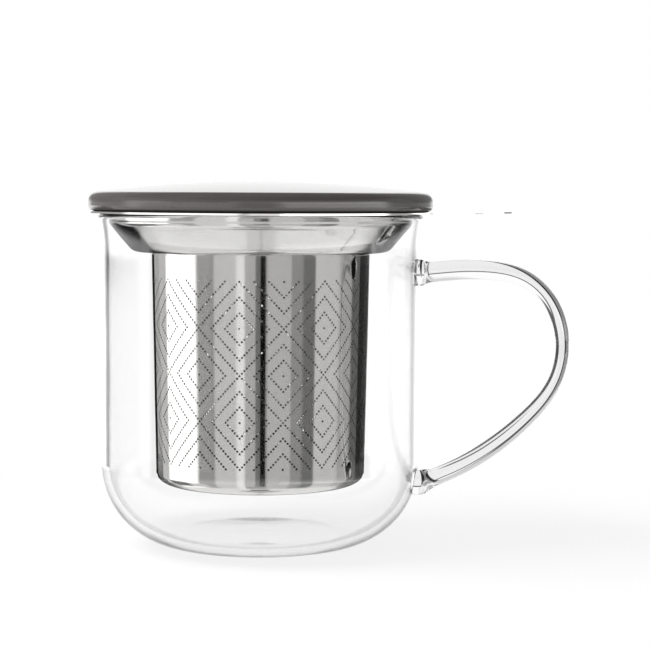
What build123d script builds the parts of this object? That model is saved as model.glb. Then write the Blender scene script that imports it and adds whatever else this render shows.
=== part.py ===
from build123d import *
import os
from math import atan2, cos, degrees, pi, radians, sin

# Lidded tea mug with a lift-out infuser.  Millimetres, +Z up.
# The origin is the centre of the mug's flat base.  The handle and the lifting tab point to +X,
# and the seam of the infuser's rolled wall is at the back, on +Y.

# --- driving dimensions: glass mug
BODY_RADIUS = 43.3          # outside of the straight wall
GLASS_WALL = 1.7
CORNER_RADIUS = 22.5        # outside, between the wall and the base
BASE_THICKNESS = 2.1
RIM_HEIGHT = 90.7
FLARE_RADIUS = 55.0         # the mouth opens along this arc
FLARE_ANGLE = 11.5

# --- glass handle: a drawn rod, thinnest at its outer bend
HANDLE_ROUTE = [
    (40.0, 75.5), (61.5, 76.0), (72.5, 73.4), (79.6, 66.2), (82.2, 56.0),
    (80.1, 46.1), (72.5, 36.0), (61.0, 26.5), (36.0, 12.7),
]
HANDLE_START_ANGLE = 1.5    # direction of the rod at its upper root, in degrees
HANDLE_END_ANGLE = 206.0    # and at its lower root
ROD_RADII = [(0, 2.8), (0.2, 2.65), (0.52, 1.75), (0.8, 2.35), (1, 2.5)]   # share of the route, radius
WELDS = [(75.0, 5.4, 2.8), (18.3, 4.9, 2.4)]     # height on the wall, radius there, radius of the rod
WELD_LENGTH = 3.2           # how far from the wall the swelling reaches
WELD_ROOT = 6.0             # how far inside the wall's outline the swelling is drawn before it is cut
WELD_BITE = 0.2             # the swelling ends this much below the rod's surface

# --- infuser: collar, perforated wall and pan
FLANGE_RADIUS = 47.0
COLLAR_SHEET = 0.5
FLANGE_GAP = 0.1            # between the glass rim and the flange
SPIGOT_RADIUS = 41.3        # outside of the upright band that sits in the mug's mouth
CONE_TOP = 88.2
CONE_FOOT_RADIUS = 34.7
LEDGE_HEIGHT = 80.4         # underside of the ledge
COLLAR_BENDS = [1.0, 1.5, 3.0, 0.5]
NECK_LENGTH = 5.2           # of the neck turned down into the perforated wall
TAB_REACH = 68.4
TAB_WIDTH = 18.0
TAB_ROOT = 45.0
TAB_ROOT_FILLET = 3.0
TAB_RISE = 0.4              # the tab's tip stands this much above the flange

WALL_SHEET = 0.3
WALL_TOP = 79.8
WALL_FOOT = 19.9
WALL_TOP_RADIUS = 29.7
WALL_FOOT_RADIUS = 28.5
SEAM_WIDTH = 4.0            # overlap of the rolled sheet
SEAM_CLEARANCE = 0.3

PAN_SHEET = 0.4
PAN_HEIGHT = 16.9           # underside of the pan
PAN_TUCK = 4.0              # how far the pan goes up inside the wall
PAN_CORNER = 2.6

# --- perforation: a lattice of lozenges drawn in dots
LATTICE_FOOT = 24.2
LATTICE_TOP = 73.4
LOZENGES_AROUND = 8
LOZENGES_HIGH = 2
HOLES_PER_SIDE = 4          # along each side of a lozenge
WALL_HOLE_RADIUS = 0.5
PAN_HOLE_RADIUS = 0.6
PAN_HOLE_RINGS = 4
PAN_RING_GAIN = 6           # each ring has this many holes more than the one inside it
PAN_RING_STEP = 4.6

# --- lid
SEAT_GAP = 0.05             # between the flange and the lid's foot
LID_RADIUS = 46.9
LID_SHOULDER = 5.0          # height of the edge above the seat
LID_APEX = 8.0              # height of the dome above the seat
LID_TOP_ROUND = 2.8
LID_FOOT_ROUND = 1.5
LOCATING_RING_RADIUS = 38.6
LOCATING_RING_WALL = 3.0
LOCATING_RING_DEPTH = 2.2
LOCATING_RING_ROUND = 0.8
LID_HOLLOW_EDGE = 0.9       # how far the hollow rises above the seat at its edge
LID_HOLLOW_CROWN = 3.9      # and at its middle

# --- worked out from them
flange_foot = RIM_HEIGHT + FLANGE_GAP
flange_middle = flange_foot + COLLAR_SHEET / 2
lid_seat = flange_foot + COLLAR_SHEET + SEAT_GAP
flare_start = RIM_HEIGHT - GLASS_WALL / 2 - (FLARE_RADIUS + GLASS_WALL / 2) * sin(radians(FLARE_ANGLE))
inner_radius = BODY_RADIUS - GLASS_WALL
corner_centre = BODY_RADIUS - CORNER_RADIUS
inner_corner = CORNER_RADIUS - GLASS_WALL


def direction(angle):
    """Unit vector in a section's plane at an angle in degrees."""
    return (cos(radians(angle)), sin(radians(angle)))


def wall_radius(height):
    """Outside radius of the tapered infuser wall at a height."""
    share = (height - WALL_FOOT) / (WALL_TOP - WALL_FOOT)
    return WALL_FOOT_RADIUS + share * (WALL_TOP_RADIUS - WALL_FOOT_RADIUS)


def radial_plane(angle, height, radius):
    """Plane that faces outwards from the axis, for a hole in the infuser wall."""
    x, y = direction(angle)
    return Plane(origin=(radius * x, radius * y, height), z_dir=(x, y, 0))


def flare_point(radius, angle):
    """Point of the mouth's flare, by its distance from the flare's centre of curvature."""
    x, y = direction(angle)
    return (BODY_RADIUS + FLARE_RADIUS - radius * x, flare_start + radius * y)


# --- mug body: one blown wall, from the middle of the base up to the fire-polished lip
outer_flare = [flare_point(FLARE_RADIUS, share * FLARE_ANGLE) for share in (0, 0.5, 1)]
inner_flare = [flare_point(FLARE_RADIUS + GLASS_WALL, share * FLARE_ANGLE) for share in (1, 0.5, 0)]
lip_middle = flare_point(FLARE_RADIUS + GLASS_WALL / 2, FLARE_ANGLE)
lean_out, lean_up = direction(90 - FLARE_ANGLE)
lip_crown = (lip_middle[0] + GLASS_WALL / 2 * lean_out, lip_middle[1] + GLASS_WALL / 2 * lean_up)

with BuildPart() as mug_body:
    with BuildSketch(Plane.XZ):
        with BuildLine():
            Line((0, 0), (corner_centre, 0))
            CenterArc((corner_centre, CORNER_RADIUS), CORNER_RADIUS, 270, 90)
            Line((BODY_RADIUS, CORNER_RADIUS), outer_flare[0])
            ThreePointArc(*outer_flare)
            ThreePointArc(outer_flare[2], lip_crown, inner_flare[0])
            ThreePointArc(*inner_flare)
            Line(inner_flare[2], (inner_radius, BASE_THICKNESS + inner_corner))
            CenterArc((corner_centre, BASE_THICKNESS + inner_corner), inner_corner, 270, 90)
            Line((corner_centre, BASE_THICKNESS), (0, BASE_THICKNESS))
            Line((0, BASE_THICKNESS), (0, 0))
        make_face()
    revolve(axis=Axis.Z)
mug_body.part.label = "mug_body"

# The mug's outside below its flare as one solid, which the handle is fused against.
with BuildPart() as mug_outside:
    with BuildSketch(Plane.XZ):
        with BuildLine():
            Line((0, 0), (corner_centre, 0))
            CenterArc((corner_centre, CORNER_RADIUS), CORNER_RADIUS, 270, 90)
            Polyline((BODY_RADIUS, CORNER_RADIUS), (BODY_RADIUS, RIM_HEIGHT), (0, RIM_HEIGHT), (0, 0))
        make_face()
    revolve(axis=Axis.Z)

# --- handle: round sections along one drawn curve, swelling into a weld at both ends
with BuildPart() as mug_handle:
    with BuildLine(Plane.XZ) as route:
        Spline(*HANDLE_ROUTE, tangents=[direction(HANDLE_START_ANGLE), direction(HANDLE_END_ANGLE)])
    rod = route.edge()
    for along, radius in ROD_RADII:
        with BuildSketch(Plane(origin=rod @ along, x_dir=(0, 1, 0), z_dir=rod % along)):
            Circle(radius)
    sweep(path=rod, multisection=True)
    for height, weld_radius, rod_radius in WELDS:
        with BuildSketch(Plane.XZ):
            with BuildLine():
                weld_end = (BODY_RADIUS + WELD_LENGTH, height + rod_radius - WELD_BITE)
                weld_start = (BODY_RADIUS, height + weld_radius)
                TangentArc(weld_end, weld_start, tangent=(-1, 0))
                Polyline(
                    weld_start,
                    (BODY_RADIUS - WELD_ROOT, height + weld_radius),
                    (BODY_RADIUS - WELD_ROOT, height),
                    (BODY_RADIUS + WELD_LENGTH, height),
                    weld_end,
                )
            make_face()
        revolve(axis=Axis((BODY_RADIUS, 0, height), (1, 0, 0)))
    add(mug_outside.part, mode=Mode.SUBTRACT)
mug_handle.part.label = "mug_handle"

# --- infuser collar: flange, upright band, cone, ledge and neck drawn from one sheet
band_radius = SPIGOT_RADIUS - COLLAR_SHEET / 2
ledge_middle = LEDGE_HEIGHT + COLLAR_SHEET / 2
neck_foot = WALL_TOP - NECK_LENGTH
neck_inset = WALL_SHEET + COLLAR_SHEET / 2
tab_slope = degrees(atan2(TAB_RISE, TAB_REACH - TAB_ROOT))
tab_lie = direction(tab_slope)
tab_straight = TAB_REACH - TAB_ROOT - TAB_WIDTH / 2
tab_plane = Plane(
    origin=(TAB_ROOT, 0, flange_foot),
    x_dir=(tab_lie[0], 0, tab_lie[1]),
    z_dir=(-tab_lie[1], 0, tab_lie[0]),
)

with BuildPart() as infuser_collar:
    with BuildSketch(Plane.XZ):
        with BuildLine() as collar_sheet:
            FilletPolyline(
                (FLANGE_RADIUS, flange_middle),
                (band_radius, flange_middle),
                (band_radius, CONE_TOP),
                (CONE_FOOT_RADIUS, ledge_middle),
                (wall_radius(WALL_TOP) - neck_inset, ledge_middle),
                (wall_radius(neck_foot) - neck_inset, neck_foot),
                radius=COLLAR_BENDS,
            )
        trace(line_width=COLLAR_SHEET)
    revolve(axis=Axis.Z)
    # The tab: a tongue with a round end and filleted roots, rising slightly towards its tip.
    with BuildSketch(tab_plane):
        with BuildLine():
            Line((0, 0), (0, TAB_WIDTH / 2 + TAB_ROOT_FILLET))
            CenterArc((TAB_ROOT_FILLET, TAB_WIDTH / 2 + TAB_ROOT_FILLET), TAB_ROOT_FILLET, 180, 90)
            Line((TAB_ROOT_FILLET, TAB_WIDTH / 2), (tab_straight, TAB_WIDTH / 2))
            CenterArc((tab_straight, 0), TAB_WIDTH / 2, 90, -90)
            Line((tab_straight + TAB_WIDTH / 2, 0), (0, 0))
        make_face()
        mirror(about=Plane.XZ)
    extrude(amount=COLLAR_SHEET)
infuser_collar.part.label = "infuser_collar"

# --- infuser wall: a rolled and slightly tapered sheet, its overlap spot-welded at the back
lozenge_width = 360 / LOZENGES_AROUND
side_count = 2 * LOZENGES_HIGH * HOLES_PER_SIDE
lattice = []
for column in range(LOZENGES_AROUND):
    # two dotted diagonals climb from each foot of the lattice, one each way round
    for turn in (-1, 1):
        for dot in range(side_count):
            climb = (dot + 0.5) / side_count
            angle = (column + turn * LOZENGES_HIGH * climb) * lozenge_width
            lattice.append((angle, LATTICE_FOOT + climb * (LATTICE_TOP - LATTICE_FOOT)))

seam_foot = WALL_FOOT + PAN_TUCK + SEAM_CLEARANCE
seam_top = neck_foot - SEAM_CLEARANCE
seam_angle = SEAM_WIDTH / WALL_FOOT_RADIUS * 180 / pi
hole_planes = [radial_plane(angle, height, wall_radius(height)) for angle, height in lattice]

with BuildPart() as basket_wall:
    with BuildSketch(Plane.XZ):
        with BuildLine():
            Polyline(
                (WALL_FOOT_RADIUS, WALL_FOOT),
                (WALL_TOP_RADIUS, WALL_TOP),
                (WALL_TOP_RADIUS - WALL_SHEET, WALL_TOP),
                (WALL_FOOT_RADIUS - WALL_SHEET, WALL_FOOT),
                close=True,
            )
        make_face()
    revolve(axis=Axis.Z)
    with BuildSketch(Plane.XZ.rotated((0, 0, 90 - seam_angle / 2))):
        with BuildLine():
            Polyline(
                (wall_radius(seam_foot) - WALL_SHEET / 2, seam_foot),
                (wall_radius(seam_top) - WALL_SHEET / 2, seam_top),
                (wall_radius(seam_top) - 2 * WALL_SHEET, seam_top),
                (wall_radius(seam_foot) - 2 * WALL_SHEET, seam_foot),
                close=True,
            )
        make_face()
    revolve(axis=Axis.Z, revolution_arc=seam_angle)
    with Locations(*hole_planes):
        Hole(radius=WALL_HOLE_RADIUS, depth=4 * WALL_SHEET)
basket_wall.part.label = "basket_wall"

# --- infuser pan: the closed end, tucked up inside the wall, with rings of drain holes
pan_inset = WALL_SHEET + PAN_SHEET / 2
pan_middle = PAN_HEIGHT + PAN_SHEET / 2
with BuildPart() as basket_base:
    with BuildSketch(Plane.XZ):
        with BuildLine():
            FilletPolyline(
                (wall_radius(WALL_FOOT + PAN_TUCK) - pan_inset, WALL_FOOT + PAN_TUCK),
                (wall_radius(pan_middle) - pan_inset, pan_middle),
                (0, pan_middle),
                radius=PAN_CORNER,
            )
        trace(line_width=PAN_SHEET)
    revolve(axis=Axis.Z)
    with Locations((0, 0, PAN_HEIGHT)):
        Hole(radius=PAN_HOLE_RADIUS, depth=2 * PAN_SHEET)
        for ring in range(1, PAN_HOLE_RINGS + 1):
            with PolarLocations(ring * PAN_RING_STEP, ring * PAN_RING_GAIN):
                Hole(radius=PAN_HOLE_RADIUS, depth=2 * PAN_SHEET)
basket_base.part.label = "basket_base"

# --- lid: a glazed dome with a locating ring and a shallow hollow underneath
ring_inside = LOCATING_RING_RADIUS - LOCATING_RING_WALL
apex = (0, lid_seat + LID_APEX)
shoulder = (LID_RADIUS, lid_seat + LID_SHOULDER)
foot = (LID_RADIUS, lid_seat)
hollow_edge = (ring_inside, lid_seat + LID_HOLLOW_EDGE)
hollow_crown = (0, lid_seat + LID_HOLLOW_CROWN)
ring_foot = lid_seat - LOCATING_RING_DEPTH
ring_corners = [(LOCATING_RING_RADIUS, ring_foot), (ring_inside, ring_foot)]
with BuildPart() as lid:
    with BuildSketch(Plane.XZ) as lid_section:
        with BuildLine():
            TangentArc(apex, shoulder, tangent=(1, 0))
            Polyline(shoulder, foot, (LOCATING_RING_RADIUS, lid_seat), *ring_corners, hollow_edge)
            TangentArc(hollow_crown, hollow_edge, tangent=(1, 0))
            Line(hollow_crown, apex)
        make_face()
        fillet(lid_section.vertices().sort_by_distance(shoulder)[0], LID_TOP_ROUND)
        fillet(lid_section.vertices().sort_by_distance(foot)[0], LID_FOOT_ROUND)
        for corner in ring_corners:
            fillet(lid_section.vertices().sort_by_distance(corner)[0], LOCATING_RING_ROUND)
    revolve(axis=Axis.Z)
lid.part.label = "lid"

# --- write one file per piece
os.makedirs("parts", exist_ok=True)
for piece in (mug_body, mug_handle, infuser_collar, basket_wall, basket_base, lid):
    export_step(piece.part, f"parts/{piece.part.label}.step")
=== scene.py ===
"""A lidded glass tea mug with a lift-out infuser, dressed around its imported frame.

Laid out as an add-on: property groups hold the sizes and finishes, each operator makes one piece or one
group of like pieces, and main() runs them in order.  All lengths are metres unless a name ends in _mm.
"""
from math import atan2, cos, pi, radians, sin

import bpy
import numpy as np
from mathutils import Matrix, Vector
from mathutils.geometry import delaunay_2d_cdt


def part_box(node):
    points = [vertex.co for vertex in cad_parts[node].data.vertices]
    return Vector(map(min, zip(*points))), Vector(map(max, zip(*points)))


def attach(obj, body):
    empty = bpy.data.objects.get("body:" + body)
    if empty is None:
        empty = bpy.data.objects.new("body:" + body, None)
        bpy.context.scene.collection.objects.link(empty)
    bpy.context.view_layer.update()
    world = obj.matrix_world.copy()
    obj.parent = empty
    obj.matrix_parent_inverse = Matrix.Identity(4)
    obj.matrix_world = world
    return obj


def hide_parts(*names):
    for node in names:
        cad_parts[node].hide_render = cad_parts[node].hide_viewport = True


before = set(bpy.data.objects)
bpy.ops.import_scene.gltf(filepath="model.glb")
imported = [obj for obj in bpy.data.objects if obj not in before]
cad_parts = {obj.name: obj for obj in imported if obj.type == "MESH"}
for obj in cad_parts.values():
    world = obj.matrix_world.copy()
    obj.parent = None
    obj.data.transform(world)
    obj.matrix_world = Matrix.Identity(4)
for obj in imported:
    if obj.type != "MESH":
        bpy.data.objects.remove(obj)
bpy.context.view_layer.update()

bl_info = {
    "name": "Tea mug with infuser",
    "version": (1, 0, 0),
    "blender": (4, 5, 0),
    "location": "3D View > Sidebar > Tea Mug",
    "description": "Makes a glass tea mug, its perforated infuser, its lid and a white studio",
    "category": "Add Mesh",
}

MM = 0.001
RIM_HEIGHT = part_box("mug_body")[1].z
INFUSER_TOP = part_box("basket_wall")[1].z
INFUSER_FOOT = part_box("basket_wall")[0].z
INFUSER_TOP_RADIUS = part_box("basket_wall")[1].x
LID_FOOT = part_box("lid")[0].z

# The drawn rod of the handle, as (x, z) of its middle line in millimetres, from the upper weld, round the
# outer bend and down to the lower weld.  Both ends lie in the thickness of the mug's wall, square to it.
HANDLE_ROUTE_MM = [
    (42.3, 75.0), (46.5, 75.3), (53.0, 75.9), (61.5, 76.0), (72.5, 73.4), (79.6, 66.2), (82.17, 56.0),
    (80.1, 46.1), (72.5, 36.0), (61.0, 26.5), (52.0, 21.4), (46.8, 19.2), (41.8, 18.2),
]
HANDLE_END_ANGLES = (3.0, 168.7)     # the way that the route leaves and arrives, in degrees from +x
ROD_RADII_MM = [(0.0, 2.85), (0.52, 1.8), (0.8, 2.35), (1.0, 2.45)]  # share of the route, radius
# How much each weld swells the rod's radius, how far from the rod's end, and its reach along the rod.  The
# rod's ends lie about 1 mm deep in the wall.
WELD_SWELLS_MM = ((0.75, 1.6, 1.4), (1.15, 1.8, 2.7))
ROD_STATIONS = 300
ROD_SIDES = 48
END_CROWDING = 0.85      # 0 spaces the rod's stations evenly, towards 1 they crowd at its ends

# How finely the mug's section and its turning are cut.
MUG_STEPS = 224
BASE_POINTS = 25
CORNER_POINTS = 40
WALL_POINTS = 30
FLARE_POINTS = 16
LIP_POINTS = 14

# The punched pattern: nested lozenges in dotted lines, on a lattice of columns and rows.
LOZENGES_AROUND = 8
LOZENGE_HALF = 18        # lattice steps from a lozenge's middle to its corners
LOZENGE_STEP = 6         # lattice steps between one nested outline and the next
PATTERN_FOOT_MM = 24.2
PATTERN_TOP_MM = 73.4
HOLE_SIDES = 6
STRIP_ACROSS = 14        # edge steps of one lozenge's strip of sheet, round the wall and up it
STRIP_UP = 60
NET_GAP = 1e-9           # metres; the triangulation takes closer points for one
WELD_GAP = 1e-8          # metres; neighbouring strips share the points that agree to this

# The lap seam at the back: where the rolled sheet runs on inside itself and is spot-welded.
SEAM_WIDTH_MM = 4.0
SEAM_FOOT_MM = 24.3
SEAM_TOP_MM = 74.8
SEAM_DEPTHS = (0.9, 2.0)     # of the lap's two faces under the wall's outside, in thicknesses of the sheet
SEAM_ACROSS = 9              # points round one face, and up it
SEAM_UP = 12
SPOT_PITCH_MM = 7.0
SPOT_RADII_MM = (0.7, 0.9)   # where a weld's dull spot begins to fade, and where it ends
TUBE_RADIUS_MM = 29          # of the infuser's wall, about half-way up

BARE_RING_MM = (0.7, 1.1)    # height above the lid's foot where the glaze begins, and where it is whole

# The studio, as each kind of surface sees it: steel inside the glass, surfaces outside it, the mug's wall
# and the handle's rod are each lit with cards of their own, which the others don't catch.  A card is a
# name, the direction that it lies in, turned from the camera's side (0) to the left (+) or the right (-),
# half its width, its lowest and its highest edge, how soft its edges are, all in degrees, and how bright it
# is beside a white of 1.  Each card covers the ones above it, and the first lies on a plain ground.
STEEL_GROUND, OUTSIDE_GROUND, WALL_GROUND, ROD_GROUND = 0.43, 0.5, 0.9, 1.0
STEEL_CARDS = [
    ("soft box, left", 95.5, 23.5, -91, 91, 7, 2.3),
    ("wall beside it", 127.5, 8.5, -91, 91, 2, 0.8),
    ("wall further on", 144, 8, -91, 91, 2, 0.6),
    ("black end, left", 166, 14, -91, 91, 2, 0.0),
    ("dark floor behind, left", 157, 23, -91, -9, 4, 0.0),
    ("panel, front left", 35, 15, -91, 91, 4, 0.82),
    ("lamp in it", 21, 4.5, -91, 91, 5, 1.2),
    ("reflector, front right", -20, 13, -91, 91, 2, 0.67),
    ("its far part", -38.5, 6.5, -91, 91, 3, 0.4),
    ("gap", -52, 7, -91, 91, 4, 0.2),
    ("soft box, right", -76, 16.5, -91, 91, 2, 0.8),
    ("wall beyond it", -101, 10, -91, 91, 8, 0.55),
    ("dark wall, right", -121, 9, -91, 91, 4, 0.17),
    ("black end, right", -154, 26, -91, 91, 3, 0.03),
    ("grey wall under the soft box", 75, 14, -36, -12, 2, 0.8),
    ("dark wall under its far end", 105, 17, -36, -12, 2, 0.12),
    ("white floor", 0, 181, -91, -39, 18, 1.1),
    ("dark foot of the wall, right", -138, 8, -42, -24, 3, 0.15),
    ("shade round the lens", 10.6, 5.4, -14, 91, 2, 0.62),
    ("lens", 2.4, 2.6, -14, 91, 1, 0.24),
    ("black slit beside the lens", -2.6, 2.8, -14, 91, 0.7, 0.0),
    ("paper under the lens", 0, 40, -91, -60, 2, 0.55),
    ("dark foot of the stand", 1, 14, -59, -47, 4, 0.03),
    ("upper walls", 0, 181, -1.9, 91, 0.6, 0.85),
    ("upper dark corner, left", 148, 34, -1.9, 91, 1, 0.03),
    ("upper centre", 0, 15, -1.9, 91, 1, 0.72),
    ("upper wall, right", -115, 40, -1.9, 91, 1, 0.55),
    ("dark ceiling, right", -75, 55, 5, 91, 2, 0.1),
    ("white sky behind", 180, 60, 0.2, 91, 1, 1.0),
]
OUTSIDE_CARDS = [
    ("ceiling", 0, 181, 32, 91, 12, 0.12),
    ("white sweep behind", 180, 25, -12, 34, 6, 1.6),
    ("dark ends", 180, 60, 2, 45, 6, 0.3),
    ("white sweep above them", 180, 14, -12, 34, 4, 1.65),
    ("soft box, left", 57, 43, -60, 12, 12, 2.0),
    ("soft box, right", -50, 40, -60, 12, 12, 3.5),
    ("shade round the lens", -2, 11, -60, 12, 6, 1.2),
    ("white floor", 0, 181, -91, -11, 3, 1.2),
    ("dark strip behind, left", 142, 13, -60, -11, 4, 0.15),
    ("grey strip behind, right", -118, 12, -60, -11, 4, 0.4),
    ("dark strip behind, right", -158, 7, -60, -11, 4, 0.2),
    ("dark room in front, low", 0, 86, -9, -1.7, 0.6, 0.08),
    ("white walls beside, low", 180, 86, -9.5, -2.6, 2.5, 1.7),
    ("dark shelf beside, left", 115, 20, -13, -8.7, 3, 0.05),
    ("dark shelf beside, right", -115, 20, -13, -8.7, 3, 0.05),
]
WALL_CARDS = [
    ("white walls beside, low", 180, 93, -91, -2.6, 2.5, 1.5),
    ("white walls behind", 180, 40, -91, 91, 2, 1.0),
    ("edge of the sweep, left", 150, 6, -91, 91, 2, 0.05),
    ("edge of the sweep, right", -150, 6, -91, 91, 3, 0.45),
    ("white sweep", 180, 25.5, -91, 91, 2, 1.0),
    ("dark room in front, low", 0, 86, -9, -1.7, 0.6, 0.02),
    ("dark shelf beside, left", 115, 20, -13, -8.7, 3, 0.05),
    ("dark shelf beside, right", -115, 20, -13, -8.7, 3, 0.05),
]
ROD_CARDS = [
    ("floor", 0, 181, -91, 4, 1, 0.87),
    ("edge of the floor", 0, 181, 3.2, 7.2, 1, 0.12),
    ("grey wall, left", 155, 15, -60, 12, 2, 0.24),
    ("dark gap, left", 130, 11, -30, 12, 4, 0.12),
    ("edge of the grey wall", 171, 3.6, -60, 14, 1, 0.02),
    ("grey wall above it", 148, 32, 12, 70, 6, 0.6),
    ("dark gap, right", -132, 20, -60, 20, 6, 0.06),
    ("seam in the sweep", -163.5, 2, -34, -18, 1, 0.12),
]

# The table: how much of its white is lit at most, so that it takes the shadow, and between which shares of
# its radius that fades into the plain white.  It lies a little under the glass, so that no faces fight.
LIT_SHARE = 0.17
LIT_FADE = (0.6, 0.95)
TABLE_HEIGHT_MM = -0.3
TABLE_SIDES = 96

# The key light's size and place, in metres: to the right of the mug (minus is left), to the camera, up.
KEY_SIZE = (0.6, 0.5)
KEY_PLACE = (-0.55, 0.15, 0.7)
KEY_AIM = Vector((0, 0, 0.05))
SENSOR_MM = 36


def linear(hex_colour):
    """Turns an sRGB colour such as "#5b5656" into linear red, green and blue with an alpha of 1."""
    channels = np.array([int(hex_colour[i:i + 2], 16) for i in (1, 3, 5)]) / 255
    straight = np.where(channels <= 0.04045, channels / 12.92, ((channels + 0.055) / 1.055) ** 2.4)
    return (*straight.tolist(), 1.0)


def add_node(tree, kind, inputs=None, **settings):
    """Adds a node with its settings.  Each input is given a value, or the output socket that feeds it."""
    node = tree.nodes.new("ShaderNode" + kind)
    for name, value in settings.items():
        setattr(node, name, value)
    for name, value in (inputs or {}).items():
        if isinstance(value, bpy.types.NodeSocket):
            tree.links.new(value, node.inputs[name])
        else:
            node.inputs[name].default_value = value
    return node


def reckon(tree, operation, *values):
    """Output of a math node on numbers or sockets."""
    return add_node(tree, "Math", dict(enumerate(values)), operation=operation).outputs["Value"]


def reckon_vector(tree, operation, *vectors):
    """Output of a vector math node: a number for a length or a dot product, otherwise a vector."""
    outputs = add_node(tree, "VectorMath", dict(enumerate(vectors)), operation=operation).outputs
    return outputs["Value" if operation in ("LENGTH", "DOT_PRODUCT") else "Vector"]


def stretched(tree, value, start, end, low=0.0, high=1.0, **settings):
    """Takes a value's stretch from start to end to the one from low to high, and stops at both."""
    node = add_node(tree, "MapRange", {
        "Value": value, "From Min": start, "From Max": end, "To Min": low, "To Max": high}, **settings)
    return node.outputs["Result"]


def noise(tree, place, size, detail=1.0, roughness=0.5):
    """Noise from 0 to 1 with lumps of a size, in space or, where place is a number, along a line."""
    along_line = place.type == "VALUE"
    node = add_node(tree, "TexNoise", {
        "W" if along_line else "Vector": place, "Scale": 1 / size, "Detail": detail,
        "Roughness": roughness}, noise_dimensions="1D" if along_line else "3D")
    return node.outputs["Fac"]


def bumped(tree, height, distance, **under):
    """Normals of the surface raised by a height from 0 to 1 times a distance, on the ones under it."""
    node = add_node(tree, "Bump", {"Height": height, "Strength": 1.0, "Distance": distance, **under})
    return node.outputs["Normal"]


def blend(tree, share, first, second):
    """The first colour with a share of the second mixed in."""
    node = add_node(tree, "Mix", {"Factor": share, "A": first, "B": second}, data_type="RGBA")
    return node.outputs["Result"]


def choose(tree, switch, off, on):
    """The number off where the switch is 0, on where it is 1, and evenly between them."""
    node = add_node(tree, "Mix", {"Factor": switch, "A": off, "B": on}, data_type="FLOAT")
    return node.outputs["Result"]


def new_material(name):
    """An empty node material and its tree."""
    material = bpy.data.materials.new(name)
    material.use_nodes = True
    material.node_tree.nodes.clear()
    return material, material.node_tree


def surfaced(material, inputs):
    """The material, with a surface shader of these inputs."""
    shader = add_node(material.node_tree, "BsdfPrincipled", inputs)
    add_node(material.node_tree, "OutputMaterial", {"Surface": shader.outputs["BSDF"]})
    return material


def new_piece(name, points, faces, material, smooth=True):
    """Puts arrays of points, in metres, and of faces into a new mesh object at the origin."""
    mesh = bpy.data.meshes.new(name)
    mesh.from_pydata(points.tolist(), [], [list(face) for face in faces])
    mesh.polygons.foreach_set("use_smooth", np.full(len(mesh.polygons), smooth))
    mesh.materials.append(material)
    mesh.update()
    piece = bpy.data.objects.new(name, mesh)
    bpy.context.scene.collection.objects.link(piece)
    return piece


def arc(centre, radius, start, end, count):
    """Points at equal angles, in degrees, on a circle in a section's plane."""
    turn = np.radians(np.linspace(start, end, count))
    return np.stack((centre[0] + radius * np.cos(turn), centre[1] + radius * np.sin(turn)), -1)


def straight(start, end, count):
    """Points at equal steps between two points, without the two ends."""
    share = np.linspace(0, 1, count + 2)[1:-1, None]
    return (1 - share) * np.array(start) + share * np.array(end)


def turned(profile, steps):
    """Solid of revolution: the profile's point (r, z) goes to (r cos a, r sin a, z) for each angle a.

    The profile starts and ends on the axis and runs so that the material lies on its left, and each of its
    ends is one point that a fan of triangles closes.
    """
    angle = np.linspace(0, 2 * pi, steps, endpoint=False)
    rings = profile[1:-1]
    x = rings[:, :1] * np.cos(angle)
    y = rings[:, :1] * np.sin(angle)
    z = np.broadcast_to(rings[:, 1:], x.shape)
    poles = [(0, 0, profile[0, 1]), (0, 0, profile[-1, 1])]
    points = np.concatenate((np.stack((x, y, z), -1).reshape(-1, 3), poles))
    index = np.arange(len(rings) * steps).reshape(len(rings), steps)
    beside = np.roll(index, -1, 1)
    quads = np.stack((index[:-1], beside[:-1], beside[1:], index[1:]), -1).reshape(-1, 4)
    first, last = np.full(steps, len(points) - 2), np.full(steps, len(points) - 1)
    fans = np.concatenate((
        np.stack((first, beside[0], index[0]), -1),
        np.stack((last, index[-1], beside[-1]), -1),
    ))
    return points, quads.tolist() + fans.tolist()


def smooth_route(stations, start_angle, end_angle, shares):
    """Cubic spline through points of a plane, with its parameter along the chords and its end slopes given.
    It is read at shares of its length from 0 to 1.

    The slopes at the points solve the usual tridiagonal system, which makes the curvature continuous, and
    each span is the Hermite cubic between two points and their slopes.
    """
    stations = np.array(stations, float)
    spans = np.linalg.norm(np.diff(stations, axis=0), axis=1)
    knots = np.concatenate(([0], np.cumsum(spans)))
    size = len(stations)
    system = np.eye(size)
    right = np.zeros((size, 2))
    right[0] = (cos(radians(start_angle)), sin(radians(start_angle)))
    right[-1] = (cos(radians(end_angle)), sin(radians(end_angle)))
    inner = np.arange(1, size - 1)
    before, after = spans[:-1], spans[1:]
    system[inner, inner - 1] = after
    system[inner, inner] = 2 * (before + after)
    system[inner, inner + 1] = before
    steps = np.diff(stations, axis=0) / spans[:, None]
    right[inner] = 3 * (after[:, None] * steps[:-1] + before[:, None] * steps[1:])
    slopes = np.linalg.solve(system, right)
    along = knots[-1] * shares
    span = np.clip(np.searchsorted(knots, along, "right") - 1, 0, size - 2)
    h = spans[span][:, None]
    t = (along - knots[span])[:, None] / h
    point = (
        (2 * t**3 - 3 * t**2 + 1) * stations[span] + (t**3 - 2 * t**2 + t) * h * slopes[span]
        + (3 * t**2 - 2 * t**3) * stations[span + 1] + (t**3 - t**2) * h * slopes[span + 1]
    )
    slope = (
        (6 * t**2 - 6 * t) * (stations[span] - stations[span + 1]) / h
        + (3 * t**2 - 4 * t + 1) * slopes[span] + (3 * t**2 - 2 * t) * slopes[span + 1]
    )
    return along, point, slope / np.linalg.norm(slope, axis=1)[:, None]


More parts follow.
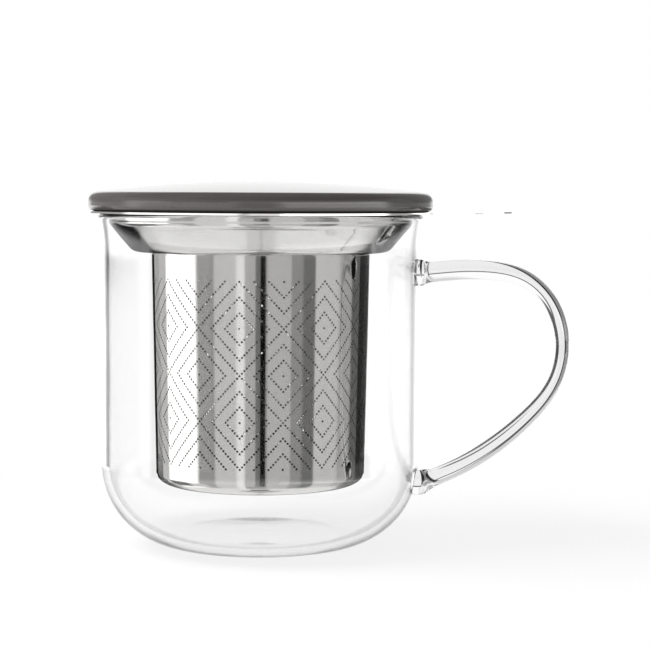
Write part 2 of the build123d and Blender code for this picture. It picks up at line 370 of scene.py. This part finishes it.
def ease(value, start, end):
    """Smooth step from 0 at start to 1 at end."""
    t = np.clip((value - start) / (end - start), 0, 1)
    return t * t * (3 - 2 * t)


# --- sizes, finishes and studio ------------------------------------------------------------------------

class TeaMugSizes(bpy.types.PropertyGroup):
    """Sizes of the glass and of the infuser's perforation."""

    wall_radius: bpy.props.FloatProperty(
        name="Wall radius", description="Outside radius of the mug's straight wall",
        default=43.3 * MM, min=30 * MM, max=60 * MM, unit="LENGTH", precision=4)
    glass_wall: bpy.props.FloatProperty(
        name="Glass wall", description="Thickness of the blown wall",
        default=1.7 * MM, min=1 * MM, max=4 * MM, unit="LENGTH", precision=4)
    base_thickness: bpy.props.FloatProperty(
        name="Base thickness", description="Thickness of the glass at the middle of the base",
        default=2.1 * MM, min=1 * MM, max=8 * MM, unit="LENGTH", precision=4)
    corner_radius: bpy.props.FloatProperty(
        name="Corner radius", description="Outside radius between the wall and the base",
        default=22.5 * MM, min=5 * MM, max=30 * MM, unit="LENGTH", precision=4)
    flare_radius: bpy.props.FloatProperty(
        name="Flare radius", description="Radius of the arc along which the mouth opens",
        default=55 * MM, min=20 * MM, max=200 * MM, unit="LENGTH", precision=4)
    flare_angle: bpy.props.FloatProperty(
        name="Flare angle", description="How far the wall leans outwards at the lip",
        default=radians(11.5), min=0, max=radians(30), unit="ROTATION")
    punt_height: bpy.props.FloatProperty(
        name="Punt", description="How far the middle of the base is pushed up from below",
        default=0.45 * MM, min=0, max=2 * MM, unit="LENGTH", precision=5)
    hole_diameter: bpy.props.FloatProperty(
        name="Hole diameter", description="Diameter of a punched hole in the infuser's wall",
        default=0.64 * MM, min=0.2 * MM, max=0.7 * MM, unit="LENGTH", precision=5)
    sheet: bpy.props.FloatProperty(
        name="Sheet", description="Thickness of the infuser's rolled wall",
        default=0.3 * MM, min=0.2 * MM, max=0.5 * MM, unit="LENGTH", precision=5)
    foot_radius: bpy.props.FloatProperty(
        name="Foot radius", description="Outside radius of the infuser's wall at its lower edge",
        default=28.5 * MM, min=20 * MM, max=35 * MM, unit="LENGTH", precision=4)


class TeaMugFinishes(bpy.types.PropertyGroup):
    """Colours of the finishes."""

    glaze: bpy.props.FloatVectorProperty(
        name="Glaze", description="Warm dark grey of the lid's glaze where it is thick",
        subtype="COLOR", size=4, default=linear("#4c4745"), min=0, max=1)
    glaze_thin: bpy.props.FloatVectorProperty(
        name="Thin glaze", description="The glaze where it lies thinner",
        subtype="COLOR", size=4, default=linear("#5d5754"), min=0, max=1)
    biscuit: bpy.props.FloatVectorProperty(
        name="Biscuit", description="Bare fired clay of the ring that stands on the kiln shelf",
        subtype="COLOR", size=4, default=linear("#cdc4b8"), min=0, max=1)
    steel: bpy.props.FloatVectorProperty(
        name="Steel", description="Stainless steel of the infuser",
        subtype="COLOR", size=4, default=linear("#d6d5d3"), min=0, max=1)
    glass: bpy.props.FloatVectorProperty(
        name="Glass", description="Clear borosilicate glass",
        subtype="COLOR", size=4, default=linear("#fefefe"), min=0, max=1)
    # painted shade: the grey that the glass's colour turns to where its surface is seen edge-on, standing in
    # for dark surroundings bent and mirrored in the glass's edges
    painted_edge_shade: bpy.props.FloatVectorProperty(
        name="Glass edge", description="The glass seen along its surface, where light runs far in it",
        subtype="COLOR", size=4, default=linear("#c4c6c6"), min=0, max=1)


class TeaMugStudio(bpy.types.PropertyGroup):
    """Camera, floor and light."""

    camera_distance: bpy.props.FloatProperty(
        name="Camera distance", description="Level distance from the mug's axis to the lens",
        default=0.57, min=0.2, max=5, unit="LENGTH")
    camera_height: bpy.props.FloatProperty(
        name="Camera height", description="Height of the lens above the floor",
        default=98.5 * MM, min=0, max=2, unit="LENGTH", precision=4)
    camera_side: bpy.props.FloatProperty(
        name="Camera side step", description="How far the lens stands to the right of the mug's axis",
        default=17.6 * MM, min=-0.2, max=0.2, unit="LENGTH", precision=4)
    camera_turn: bpy.props.FloatProperty(
        name="Camera turn", description="How far the handle is turned towards the lens",
        default=radians(9), min=-pi, max=pi, unit="ROTATION")
    camera_pitch: bpy.props.FloatProperty(
        name="Camera pitch", description="How far the lens looks down",
        default=0.0669, min=-1, max=1, unit="ROTATION")
    camera_roll: bpy.props.FloatProperty(
        name="Camera roll", description="How far the camera leans to its left",
        default=radians(0.28), min=-0.2, max=0.2, unit="ROTATION")
    lens: bpy.props.FloatProperty(
        name="Lens", description="Focal length in millimetres on a 36 mm wide sensor",
        default=115.57, min=10, max=500)
    table_radius: bpy.props.FloatProperty(
        name="Table radius", description="Radius of the white table top",
        default=0.17, min=0.1, max=2, unit="LENGTH")
    daylight: bpy.props.FloatProperty(
        name="Daylight", description="Even light from all round on matt surfaces, beside a white of 1",
        default=0.5, min=0, max=2)
    key_power: bpy.props.FloatProperty(
        name="Key light", description="Power of the soft light above the left side, in watts",
        default=7.5, min=0, max=50)


def props():
    """The scene's sizes, finishes and studio settings."""
    scene = bpy.context.scene
    return scene.tea_mug_sizes, scene.tea_mug_finishes, scene.tea_mug_studio


# --- materials -----------------------------------------------------------------------------------------

def blown_borosilicate_glass(finishes):
    """Borosilicate, mould-blown and fire-polished: water clear, with the soft waves that blowing leaves.

    The eye sees no colour through the wall. A painted shade greys the glass where its surface is seen almost
    edge-on, standing in for the dark surroundings that such edges bend and mirror.
    """
    material, tree = new_material("borosilicate_glass_blown")
    place = add_node(tree, "TexCoord").outputs["Object"]
    # painted shade: the glass's colour greys towards the edge colour where the surface is seen edge-on,
    # standing in for dark surroundings bent and mirrored in the edges; the seventh power keeps this grey to
    # where the surface is seen almost edge-on
    along = add_node(tree, "LayerWeight", {"Blend": 0.5}).outputs["Facing"]
    edge = reckon(tree, "POWER", along, 7.0)
    # blowing waves are about 14 mm long and a few hundredths of a millimetre high
    waves = noise(tree, place, 14 * MM)
    return surfaced(material, {
        "Base Color": blend(tree, edge, finishes.glass, finishes.painted_edge_shade), "Roughness": 0.0,
        "IOR": 1.473, "Transmission Weight": 1.0, "Normal": bumped(tree, waves, 0.03 * MM)})


def steel_tree(name):
    """A steel material's tree with its object coordinates, whole and split into x, y and z."""
    material, tree = new_material(name)
    place = add_node(tree, "TexCoord").outputs["Object"]
    axes = add_node(tree, "SeparateXYZ", {"Vector": place}).outputs
    return material, tree, place, axes


def mirror_polished_stainless(finishes):
    """Stainless 304 strip, bright-rolled, then bent into a tube: a mirror with faint upright lines.

    Slightly dull patches are what polishing leaves in it, and a row of dull spots down the lap seam at the
    back is where it was spot-welded.
    """
    material, tree, place, axes = steel_tree("stainless_304_mirror_rolled")
    angle = reckon(tree, "ARCTAN2", axes["Y"], axes["X"])
    # rolling lines are about 0.6 mm apart, on slow waves of the sheet about 9 mm long
    waves = bumped(tree, noise(tree, angle, 9 / TUBE_RADIUS_MM), 0.035 * MM)
    lines = noise(tree, angle, 0.6 / TUBE_RADIUS_MM, detail=3.0, roughness=0.6)
    haze = noise(tree, place, 11 * MM, detail=4.0)
    dull = stretched(tree, haze, 0.3, 0.75, 0.045, 0.085)
    # a weld's spot lies round the seam's line, which is x = 0 at the back; the distance in front of the
    # axis is counted in too, so that no spot shows on the front
    down = reckon(tree, "PINGPONG", axes["Z"], SPOT_PITCH_MM * MM / 2)
    front = reckon(tree, "MAXIMUM", reckon(tree, "MULTIPLY", axes["Y"], -1.0), 0.0)
    offset = add_node(tree, "CombineXYZ", {"X": axes["X"], "Y": down, "Z": front}).outputs["Vector"]
    fade, end = SPOT_RADII_MM
    spot = stretched(tree, reckon_vector(tree, "LENGTH", offset), end * MM, fade * MM)
    return surfaced(material, {
        "Base Color": blend(tree, spot, finishes.steel, linear("#a9a49d")), "Metallic": 1.0,
        "Roughness": choose(tree, spot, dull, 0.34),
        "Normal": bumped(tree, lines, 0.0009 * MM, Normal=waves)})


def spun_stainless(finishes, name, line_mm, roughness, stretch):
    """Stainless 304 sheet, deep-drawn and polished on a lathe: fine rings round the axis that stretch a
    reflection across them, with a slightly dull, silky shine."""
    material, tree, place, axes = steel_tree(name)
    radius = reckon_vector(tree, "LENGTH", reckon_vector(tree, "MULTIPLY", place, (1, 1, 0)))
    rings = noise(tree, reckon(tree, "SUBTRACT", radius, axes["Z"]), line_mm * MM, detail=2.0)
    haze = noise(tree, place, 7 * MM, detail=4.0)
    ring_way = add_node(tree, "Tangent", direction_type="RADIAL", axis="Z").outputs["Tangent"]
    return surfaced(material, {
        "Base Color": finishes.steel, "Metallic": 1.0,
        "Roughness": stretched(tree, haze, 0.3, 0.75, 0.85 * roughness, 1.15 * roughness),
        "Anisotropic": stretch, "Anisotropic Rotation": 0.25, "Tangent": ring_way,
        "Normal": bumped(tree, rings, 0.0006 * MM)})


def glazed_porcelain(finishes):
    """Porcelain, jiggered, dipped in a satin grey glaze and fired: the glaze lies a little thinner and paler
    in some places, with fine specks and a faint orange-peel.  The ring underneath stays bare, because the
    lid is fired standing on it."""
    material, tree = new_material("porcelain_satin_glaze_fired")
    place = add_node(tree, "TexCoord").outputs["Object"]
    height = add_node(tree, "SeparateXYZ", {"Vector": place}).outputs["Z"]
    thin = stretched(tree, noise(tree, place, 9 * MM, detail=5.0), 0.3, 0.8, 0.0, 0.35)
    speck = stretched(tree, noise(tree, place, 0.5 * MM), 0.66, 0.72, 0.0, 0.45)
    begin, whole = BARE_RING_MM
    bare = stretched(tree, height, LID_FOOT + whole * MM, LID_FOOT + begin * MM)
    peel = noise(tree, place, 2.4 * MM)
    plain = blend(tree, thin, finishes.glaze, finishes.glaze_thin)
    speckled = blend(tree, speck, plain, linear("#393533"))
    return surfaced(material, {
        "Base Color": blend(tree, bare, speckled, finishes.biscuit),
        "Roughness": choose(tree, bare, 0.2, 0.85), "IOR": 1.7,
        "Normal": bumped(tree, peel, 0.006 * MM)})


def sight(tree):
    """Tells a ray's way to the eye apart, as switches of 0 or 1.

    "any" is every way that the eye sees, "steel" is mirrored with the glass wall before it, "outside" is
    mirrored with none, "rod" is bent through one solid glass, and "straight" is neither mirrored nor bent.
    """
    path = add_node(tree, "LightPath").outputs
    seen = path["Is Camera Ray"]
    for kind in ("Is Glossy Ray", "Is Transmission Ray"):
        seen = reckon(tree, "MAXIMUM", seen, path[kind])
    mirrored = reckon(tree, "GREATER_THAN", path["Glossy Depth"], 0.5)
    direct = reckon(tree, "LESS_THAN", path["Glossy Depth"], 0.5)
    no_glass = reckon(tree, "LESS_THAN", path["Transmission Depth"], 0.5)
    one_glass = reckon(tree, "COMPARE", path["Transmission Depth"], 2.0, 0.5)
    more_glass = reckon(tree, "GREATER_THAN", path["Transmission Depth"], 2.5)
    return {
        "any": seen,
        "steel": reckon(tree, "MULTIPLY", mirrored, more_glass),
        "outside": reckon(tree, "MULTIPLY", mirrored, no_glass),
        "rod": reckon(tree, "MULTIPLY", direct, one_glass),
        "straight": reckon(tree, "MULTIPLY", direct, no_glass),
    }


def table_laminate(table_radius, daylight):
    """White melamine laminate, pressed smooth: the eye sees plain white with a soft shadow on it.

    Near the object a part of the white is lit, so that it takes the shadow, and towards the edge it turns
    into the plain white of the background.
    """
    material, tree = new_material("melamine_laminate_white")
    place = add_node(tree, "TexCoord").outputs["Object"]
    fade, end = LIT_FADE
    lit = stretched(
        tree, reckon_vector(tree, "LENGTH", place), end * table_radius, fade * table_radius,
        0.0, LIT_SHARE, interpolation_type="SMOOTHSTEP")
    ways = sight(tree)
    glow = reckon(tree, "SUBTRACT", 1.0, lit)
    strength = reckon(tree, "MULTIPLY", glow, choose(tree, ways["any"], daylight, 1.0))
    emission = add_node(tree, "Emission", {"Color": linear("#ffffff"), "Strength": strength})
    matt = add_node(tree, "BsdfDiffuse", {"Color": linear("#ffffff")})
    dark = add_node(tree, "BsdfDiffuse", {"Color": linear("#000000")})
    shade = add_node(tree, "MixShader", {0: lit, 1: dark.outputs["BSDF"], 2: matt.outputs["BSDF"]})
    both = add_node(tree, "AddShader", {0: emission.outputs["Emission"], 1: shade.outputs["Shader"]})
    clear = add_node(tree, "BsdfTransparent")
    passed = reckon(tree, "MAXIMUM", ways["steel"], ways["rod"])
    shown = add_node(tree, "MixShader", {0: passed, 1: both.outputs["Shader"], 2: clear.outputs["BSDF"]})
    add_node(tree, "OutputMaterial", {"Surface": shown.outputs["Shader"]})
    return material


def cards_seen(tree, cards, ground, heading):
    """Brightness of a list of cards in the direction that the world is looked up in, on a plain ground."""
    direction = add_node(tree, "TexCoord").outputs["Generated"]
    flat = reckon_vector(tree, "NORMALIZE", reckon_vector(tree, "MULTIPLY", direction, (1, 1, 0)))
    height = add_node(tree, "SeparateXYZ", {"Vector": direction}).outputs["Z"]
    elevation = reckon(tree, "ARCSINE", height)
    seen = ground
    for _, side, half_width, low, high, softness, brightness in cards:
        turn = heading - radians(side)
        cosine = reckon_vector(tree, "DOT_PRODUCT", flat, (sin(turn), -cos(turn), 0))
        away = reckon(tree, "ARCCOSINE", cosine)
        inside = 1.0
        for value, edge, sign in ((away, half_width, -1), (elevation, low, 1), (elevation, high, -1)):
            reach = sign * radians(softness) / 2
            covered = stretched(
                tree, value, radians(edge) - reach, radians(edge) + reach,
                interpolation_type="SMOOTHSTEP")
            inside = reckon(tree, "MULTIPLY", covered, inside)
        seen = choose(tree, inside, seen, brightness)
    return seen


def white_studio(studio):
    """World: plain white behind everything, with the studio's cards where light is mirrored or bent."""
    world = bpy.data.worlds.new("white_studio")
    bpy.context.scene.world = world
    world.use_nodes = True
    tree = world.node_tree
    tree.nodes.clear()
    heading = studio.camera_turn + atan2(studio.camera_side, studio.camera_distance)
    ways = sight(tree)
    seen = cards_seen(tree, WALL_CARDS, WALL_GROUND, heading)
    seen = choose(tree, ways["rod"], seen, cards_seen(tree, ROD_CARDS, ROD_GROUND, heading))
    seen = choose(tree, ways["outside"], seen, cards_seen(tree, OUTSIDE_CARDS, OUTSIDE_GROUND, heading))
    seen = choose(tree, ways["steel"], seen, cards_seen(tree, STEEL_CARDS, STEEL_GROUND, heading))
    seen = choose(tree, ways["straight"], seen, 1.0)
    strength = choose(tree, ways["any"], studio.daylight, seen)
    light = add_node(tree, "Background", {"Color": linear("#ffffff"), "Strength": strength})
    add_node(tree, "OutputWorld", {"Surface": light.outputs["Background"]})


# --- pieces --------------------------------------------------------------------------------------------

def mug_wall_profile(sizes):
    """Section of the blown mug: up its outside from the middle of the base, over the lip and down inside.

    Both faces of the base rise a little towards the middle: the rise is the punt's height times the square
    of one minus the square of the distance from the middle, in shares of the flat's radius.  Arcs join the
    base, the straight wall and the flare, and a half circle rounds the lip.
    """
    outer, wall, corner = sizes.wall_radius, sizes.glass_wall, sizes.corner_radius
    flare, lean = sizes.flare_radius, sizes.flare_angle
    flat = outer - corner
    inner_corner = corner - wall
    inner_foot = sizes.base_thickness + inner_corner
    flare_start = RIM_HEIGHT - wall / 2 - (flare + wall / 2) * sin(lean)
    flare_centre = (outer + flare, flare_start)
    lean_degrees = np.degrees(lean)
    share = np.linspace(0, 1, BASE_POINTS, endpoint=False)
    rise = sizes.punt_height * (1 - share**2) ** 2
    below = np.stack((share * flat, rise), -1)
    above = np.stack((share * flat, sizes.base_thickness + rise), -1)[::-1]
    lip_middle = arc(flare_centre, flare + wall / 2, 180 - lean_degrees, 180 - lean_degrees, 1)[0]
    return np.concatenate((
        below,
        arc((flat, corner), corner, 270, 360, CORNER_POINTS),
        straight((outer, corner), (outer, flare_start), WALL_POINTS),
        arc(flare_centre, flare, 180, 180 - lean_degrees, FLARE_POINTS),
        arc(lip_middle, wall / 2, -lean_degrees, 180 - lean_degrees, LIP_POINTS)[1:-1],
        arc(flare_centre, flare + wall, 180 - lean_degrees, 180, FLARE_POINTS),
        straight((outer - wall, flare_start), (outer - wall, inner_foot), WALL_POINTS),
        arc((flat, inner_foot), inner_corner, 360, 270, CORNER_POINTS),
        above,
    ))


def handle_rod():
    """The handle as one tube: a circle, whose radius changes along the route, square to the route.

    The radius is the drawn rod's, and at each end the weld adds a swelling to it that falls off as a bell
    curve.  Stations stand closer together towards the ends.
    """
    share = np.linspace(0, 1, ROD_STATIONS)
    share -= END_CROWDING * np.sin(2 * pi * share) / (2 * pi)
    along, middle, slope = smooth_route(HANDLE_ROUTE_MM, *HANDLE_END_ANGLES, share)
    radius = np.zeros(ROD_STATIONS)
    for (start, before), (end, after) in zip(ROD_RADII_MM, ROD_RADII_MM[1:]):
        here = (share >= start) & (share <= end)
        radius[here] = before + (after - before) * ease(share[here], start, end)
    for from_end, (swelling, place, reach) in zip((along, along[-1] - along), WELD_SWELLS_MM):
        radius += swelling * np.exp(-((from_end - place) / reach) ** 2)
    turn = np.linspace(0, 2 * pi, ROD_SIDES, endpoint=False)
    sideways = np.stack((-slope[:, 1], slope[:, 0]), -1)
    out = (radius[:, None] * np.cos(turn))[..., None] * sideways[:, None]
    x, z = np.moveaxis(middle[:, None] + out, -1, 0)
    y = radius[:, None] * np.sin(turn)
    points = np.stack((x, y, z), -1).reshape(-1, 3) * MM
    index = np.arange(radius.size * turn.size).reshape(radius.size, turn.size)
    beside = np.roll(index, -1, 1)
    quads = np.stack((index[:-1], index[1:], beside[1:], beside[:-1]), -1).reshape(-1, 4)
    return points, quads.tolist() + [index[0].tolist(), index[-1][::-1].tolist()]


def lattice_dots():
    """Columns and rows of one lozenge's width that hold a dot.

    Lozenge middles stand on every other crossing of a square net.  A dot's distance from a middle is the
    sum of its steps sideways and up, and it is punched where the nearer middle is a whole number of
    nested outlines away.
    """
    span = 2 * LOZENGE_HALF
    column, row = np.meshgrid(np.arange(span), np.arange(-span, span + 1), indexing="ij")

    def steps(value, middle):
        return np.abs((value - middle + LOZENGE_HALF) % span - LOZENGE_HALF)

    beside = steps(column, 0) + steps(row, LOZENGE_HALF)
    between = steps(column, LOZENGE_HALF) + steps(row, 0)
    punched = np.minimum(beside, between) % LOZENGE_STEP == 0
    return np.stack((column[punched], row[punched]), -1)


def infuser_radius(sizes, height):
    """Outside radius of the infuser's evenly tapering wall at a height, and the taper's slope."""
    slope = (INFUSER_TOP_RADIUS - sizes.foot_radius) / (INFUSER_TOP - INFUSER_FOOT)
    return sizes.foot_radius + slope * (height - INFUSER_FOOT), slope


def lap_seam(sizes):
    """The lap inside the wall: a thin bent plate.  Its section is a strip between two arcs about the axis,
    and both arcs' radii follow the wall's taper from the lower end to the upper one."""
    half = SEAM_WIDTH_MM / 2 * MM / sizes.foot_radius
    turn = pi / 2 + np.linspace(-half, half, SEAM_ACROSS)
    angle = np.concatenate((turn, turn[::-1]))
    depth = np.repeat(SEAM_DEPTHS, SEAM_ACROSS) * sizes.sheet
    height = np.linspace(SEAM_FOOT_MM, SEAM_TOP_MM, SEAM_UP)[:, None] * MM
    radius = infuser_radius(sizes, height)[0] - depth
    z = np.broadcast_to(height, radius.shape)
    points = np.stack((radius * np.cos(angle), radius * np.sin(angle), z), -1).reshape(-1, 3)
    index = np.arange(radius.size).reshape(radius.shape)
    beside = np.roll(index, -1, 1)
    quads = np.stack((index[:-1], beside[:-1], beside[1:], index[1:]), -1).reshape(-1, 4)
    return points, quads.tolist() + [index[0][::-1].tolist(), index[-1].tolist()]


def pairs_round(loops):
    """Each point's number with that of the next one round its closed loop."""
    return np.stack((loops, np.roll(loops, -1, -1)), -1).reshape(-1, 2)


def punched_strip(sizes, column_width):
    """One lozenge's width of the infuser's sheet, laid flat, triangulated between its edge and its holes.

    A point (s, z) is a length along the strip and a height.  A hole is a regular hexagon about a lattice
    dot.  Returns the points, the faces, and the points' numbers round each hole and round the strip's edge.
    """
    span = 2 * LOZENGE_HALF
    row_pitch = (PATTERN_TOP_MM - PATTERN_FOOT_MM) * MM / (2 * span)
    middle = (PATTERN_TOP_MM + PATTERN_FOOT_MM) / 2 * MM
    turn = (np.arange(HOLE_SIDES) + 0.5) * 2 * pi / HOLE_SIDES
    corner = sizes.hole_diameter / 2 * np.stack((np.cos(turn), np.sin(turn)), -1)
    dots = lattice_dots() * (column_width, row_pitch) + (0, middle)
    holes = (dots[:, None] + corner).reshape(-1, 2)
    left, right = -0.5 * column_width, (span - 0.5) * column_width
    across = np.linspace(left, right, STRIP_ACROSS + 1)
    upright = np.linspace(INFUSER_FOOT, INFUSER_TOP, STRIP_UP + 1)
    edge = np.concatenate((
        np.stack((across[:-1], np.full(STRIP_ACROSS, INFUSER_FOOT)), -1),
        np.stack((np.full(STRIP_UP, right), upright[:-1]), -1),
        np.stack((across[:0:-1], np.full(STRIP_ACROSS, INFUSER_TOP)), -1),
        np.stack((np.full(STRIP_UP, left), upright[:0:-1]), -1),
    ))
    flat = np.concatenate((holes, edge))
    ring = np.arange(len(holes)).reshape(-1, HOLE_SIDES)
    loop = np.arange(len(holes), len(flat))
    outlines = np.concatenate((pairs_round(ring), pairs_round(loop))).tolist()
    net = delaunay_2d_cdt([Vector(point) for point in flat], outlines, [], 1, NET_GAP)
    faces = np.array(net[2])
    source = np.array([given[0] for given in net[3]])
    own = np.where(source < len(holes), source // HOLE_SIDES, -1)[faces]
    in_hole = (own[:, 0] >= 0) & (own[:, 0] == own[:, 1]) & (own[:, 1] == own[:, 2])
    order = np.zeros(len(flat), int)
    order[source] = np.arange(len(source))
    return flat[source], faces[~in_hole], order[ring], order[loop]


def punched_sheet(sizes):
    """The infuser's wall: one flat punched strip, repeated round the axis.

    The strip's point (s, z) goes to the angle s divided by the wall's mean radius, at the radius of the
    tapering wall at height z, less the sheet's thickness inside.  Returns the points, the faces, how many
    of them make one of the two skins, and the taper's slope.
    """
    mean_radius = (INFUSER_TOP_RADIUS + sizes.foot_radius) / 2
    column_turn = 2 * pi / (LOZENGES_AROUND * 2 * LOZENGE_HALF)
    found, faces, ring, loop = punched_strip(sizes, column_turn * mean_radius)
    turns = np.arange(LOZENGES_AROUND)[:, None] * 2 * pi / LOZENGES_AROUND
    angle = found[:, 0] / mean_radius + turns
    height = np.broadcast_to(found[:, 1], angle.shape)
    outside, slope = infuser_radius(sizes, height)
    skins = [np.stack((r * np.cos(angle), r * np.sin(angle), height), -1).reshape(-1, 3)
             for r in (outside, outside - sizes.sheet)]
    sector = np.arange(LOZENGES_AROUND)[:, None, None] * len(found)
    shift = LOZENGES_AROUND * len(found)
    outer = (faces + sector).reshape(-1, 3)
    inner = outer[:, ::-1] + shift
    # the strip's level edges are the wall's two ends, and its upright ones meet the next strips
    border = pairs_round(loop)
    ends = border[np.ptp(found[border][..., 1], axis=1) < NET_GAP]
    a, b = (np.concatenate((pairs_round(ring), ends[:, ::-1])) + sector).reshape(-1, 2).T
    thick = np.stack((a, b, b + shift, a + shift), -1)
    steps = np.round(np.concatenate(skins) / WELD_GAP).astype(np.int64)
    steps, merged = np.unique(steps, axis=0, return_inverse=True)
    merged = merged.reshape(-1)
    skin = merged[np.concatenate((outer, inner))]
    return steps * WELD_GAP, skin.tolist() + merged[thick].tolist(), len(outer), slope


def set_sheet_normals(mesh, points, skin_faces, slope):
    """Gives the wall the rolled sheet's own normals, so that it reflects as one smooth wall.

    Outside, a normal points straight away from the axis and down by the taper's slope; inside, the other
    way.  The first skin_faces faces are the outside, as many are the inside, and the rest keep their own.
    """
    corners = np.zeros(len(mesh.loops), np.int32)
    mesh.loops.foreach_get("vertex_index", corners)
    own = np.zeros(len(mesh.polygons) * 3)
    mesh.polygons.foreach_get("normal", own)
    totals = np.zeros(len(mesh.polygons), np.int32)
    mesh.polygons.foreach_get("loop_total", totals)
    face = np.repeat(np.arange(len(totals)), totals)
    away = points[corners] * (1, 1, 0)
    away /= np.linalg.norm(away, axis=1)[:, None]
    away[:, 2] = -slope
    away /= np.linalg.norm(away, axis=1)[:, None]
    side = np.where(face < skin_faces, 1, -1)[:, None]
    normals = np.where((face < 2 * skin_faces)[:, None], side * away, own.reshape(-1, 3)[face])
    mesh.normals_split_custom_set(normals.tolist())


class TEAMUG_OT_glass(bpy.types.Operator):
    """Makes the mug's blown body and drawn handle as one fused piece of glass"""

    bl_idname = "teamug.glass"
    bl_label = "Glass mug"

    def execute(self, context):
        sizes, finishes, _ = props()
        material = blown_borosilicate_glass(finishes)
        mug = new_piece("glass_mug", *turned(mug_wall_profile(sizes), MUG_STEPS), material)
        rod = new_piece("drawn_rod", *handle_rod(), material)
        fuse = mug.modifiers.new("fuse", "BOOLEAN")
        fuse.operation, fuse.solver, fuse.object = "UNION", "EXACT", rod
        context.view_layer.update()
        fused = bpy.data.meshes.new_from_object(mug.evaluated_get(context.evaluated_depsgraph_get()))
        mug.modifiers.clear()
        mug.data = fused
        bpy.data.objects.remove(rod)
        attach(mug, "mug")
        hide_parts("mug_body", "mug_handle")
        return {"FINISHED"}


class TEAMUG_OT_infuser_wall(bpy.types.Operator):
    """Makes the infuser's rolled wall with its punched pattern and its lap seam"""

    bl_idname = "teamug.infuser_wall"
    bl_label = "Perforated wall"

    def execute(self, context):
        sizes, finishes, _ = props()
        steel = mirror_polished_stainless(finishes)
        points, faces, skin_faces, slope = punched_sheet(sizes)
        wall = new_piece("perforated_wall", points, faces, steel)
        set_sheet_normals(wall.data, points, skin_faces, slope)
        seam = new_piece("lap_seam", *lap_seam(sizes), steel, smooth=False)
        for piece in (wall, seam):
            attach(piece, "infuser")
            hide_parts("basket_wall")
        return {"FINISHED"}


class TEAMUG_OT_infuser_pressings(bpy.types.Operator):
    """Finishes the infuser's drawn collar and its pressed pan"""

    bl_idname = "teamug.infuser_pressings"
    bl_label = "Collar and pan"

    def execute(self, context):
        _, finishes, _ = props()
        collar = spun_stainless(
            finishes, "stainless_304_deep_drawn_satin", line_mm=0.35, roughness=0.06, stretch=0.5)
        pan = spun_stainless(
            finishes, "stainless_304_pressed_bright", line_mm=0.5, roughness=0.1, stretch=0.3)
        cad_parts["infuser_collar"].material_slots[0].material = collar
        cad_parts["basket_base"].material_slots[0].material = pan
        return {"FINISHED"}


class TEAMUG_OT_lid(bpy.types.Operator):
    """Glazes the lid"""

    bl_idname = "teamug.lid"
    bl_label = "Glazed lid"

    def execute(self, context):
        _, finishes, _ = props()
        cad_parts["lid"].material_slots[0].material = glazed_porcelain(finishes)
        return {"FINISHED"}


class TEAMUG_OT_studio(bpy.types.Operator):
    """Sets up the white table, the studio light and the camera"""

    bl_idname = "teamug.studio"
    bl_label = "Studio"

    def execute(self, context):
        _, _, studio = props()
        white_studio(studio)
        turn = np.linspace(0, 2 * pi, TABLE_SIDES, endpoint=False)
        rim = studio.table_radius * np.stack((np.cos(turn), np.sin(turn)), -1)
        points = np.column_stack((rim, np.full(len(turn), TABLE_HEIGHT_MM * MM)))
        laminate = table_laminate(studio.table_radius, studio.daylight)
        table = new_piece("table_top", points, [range(len(turn))], laminate, smooth=False)

        heading = Vector((sin(studio.camera_turn), -cos(studio.camera_turn), 0))
        right = Vector((cos(studio.camera_turn), sin(studio.camera_turn), 0))
        lamp = bpy.data.lights.new("key_softbox", "AREA")
        lamp.energy, lamp.shape = studio.key_power, "RECTANGLE"
        lamp.size, lamp.size_y = KEY_SIZE
        key = bpy.data.objects.new("key_softbox", lamp)
        context.scene.collection.objects.link(key)
        beside, forward, up = KEY_PLACE
        key.location = beside * right + forward * heading + Vector((0, 0, up))
        key.rotation_euler = (KEY_AIM - key.location).to_track_quat("-Z", "Y").to_euler()
        key.visible_camera = key.visible_glossy = key.visible_transmission = False

        eye = bpy.data.cameras.new("camera")
        eye.lens, eye.sensor_width = studio.lens, SENSOR_MM
        camera = bpy.data.objects.new("camera", eye)
        context.scene.collection.objects.link(camera)
        place = studio.camera_distance * heading + studio.camera_side * right
        place.z = studio.camera_height
        camera.matrix_world = (
            Matrix.Translation(place) @ Matrix.Rotation(studio.camera_turn, 4, "Z")
            @ Matrix.Rotation(pi / 2 - studio.camera_pitch, 4, "X")
            @ Matrix.Rotation(studio.camera_roll, 4, "Z"))
        context.scene.camera = camera
        context.scene.view_settings.view_transform = "Standard"
        return {"FINISHED"}


class TEAMUG_PT_sidebar(bpy.types.Panel):
    """Lists the mug's pieces, sizes and finishes in the sidebar"""

    bl_label = "Tea mug"
    bl_idname = "TEAMUG_PT_sidebar"
    bl_space_type = "VIEW_3D"
    bl_region_type = "UI"
    bl_category = "Tea Mug"

    def draw(self, context):
        for group in props():
            box = self.layout.box()
            for name in group.__annotations__:
                box.prop(group, name)
        for operator in OPERATORS:
            self.layout.operator(operator.bl_idname)


GROUPS = {
    "tea_mug_sizes": TeaMugSizes,
    "tea_mug_finishes": TeaMugFinishes,
    "tea_mug_studio": TeaMugStudio,
}
OPERATORS = (
    TEAMUG_OT_studio, TEAMUG_OT_glass, TEAMUG_OT_infuser_wall, TEAMUG_OT_infuser_pressings, TEAMUG_OT_lid)


def register():
    for cls in (*GROUPS.values(), *OPERATORS, TEAMUG_PT_sidebar):
        bpy.utils.register_class(cls)
    for name, group in GROUPS.items():
        setattr(bpy.types.Scene, name, bpy.props.PointerProperty(type=group))


def unregister():
    for name in GROUPS:
        delattr(bpy.types.Scene, name)
    for cls in reversed((*GROUPS.values(), *OPERATORS, TEAMUG_PT_sidebar)):
        bpy.utils.unregister_class(cls)


def main():
    """Makes the studio and every piece."""
    register()
    bpy.ops.teamug.studio()
    bpy.ops.teamug.glass()
    bpy.ops.teamug.infuser_wall()
    bpy.ops.teamug.infuser_pressings()
    bpy.ops.teamug.lid()


if __name__ == "__main__":
    main()
